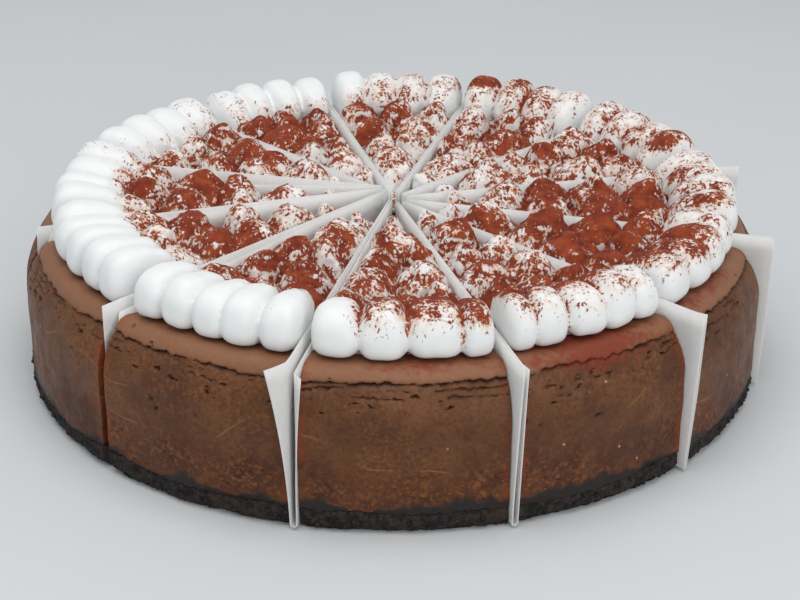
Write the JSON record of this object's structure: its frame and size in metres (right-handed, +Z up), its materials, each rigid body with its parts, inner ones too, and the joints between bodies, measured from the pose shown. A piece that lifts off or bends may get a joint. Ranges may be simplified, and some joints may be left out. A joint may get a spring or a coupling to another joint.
{
  "type": "sliced chocolate cheesecake",
  "caption": "Round baked chocolate cheesecake in cut slices, with a dark crumb base, piped cream dusted with cocoa and a folded paper in every cut.",
  "frame": {"origin": "middle of the cake's underside, on the surface that it rests on", "axes": "+Z is up, the slice shown at the front of the picture faces -Y, +X is to its right"},
  "size_m": [0.2402, 0.2426, 0.0633],
  "materials": {
    "crust": "baked crumb, rough",
    "filling": "baked, dull satin",
    "cream": "whipped, soft satin",
    "paper": "smooth, matt"
  },
  "bodies": {
    "root": {"crust_01": "crust", "filling_01": "filling", "cream_01": "cream", "paper_01": "paper", "crust_02": "crust", "filling_02": "filling", "cream_02": "cream", "paper_02": "paper", "crust_03": "crust", "filling_03": "filling", "cream_03": "cream", "paper_03": "paper", "crust_04": "crust", "filling_04": "filling", "cream_04": "cream", "paper_04": "paper", "crust_05": "crust", "filling_05": "filling", "cream_05": "cream", "paper_05": "paper", "crust_06": "crust", "filling_06": "filling", "cream_06": "cream", "paper_06": "paper", "crust_07": "crust", "filling_07": "filling", "cream_07": "cream", "paper_07": "paper", "crust_08": "crust", "filling_08": "filling", "cream_08": "cream", "paper_08": "paper", "crust_09": "crust", "filling_09": "filling", "cream_09": "cream", "paper_09": "paper", "crust_10": "crust", "filling_10": "filling", "cream_10": "cream", "paper_10": "paper", "crust_11": "crust", "filling_11": "filling", "cream_11": "cream", "paper_11": "paper", "crust_12": "crust", "filling_12": "filling", "cream_12": "cream", "paper_12": "paper"}
  },
  "joints": []
}
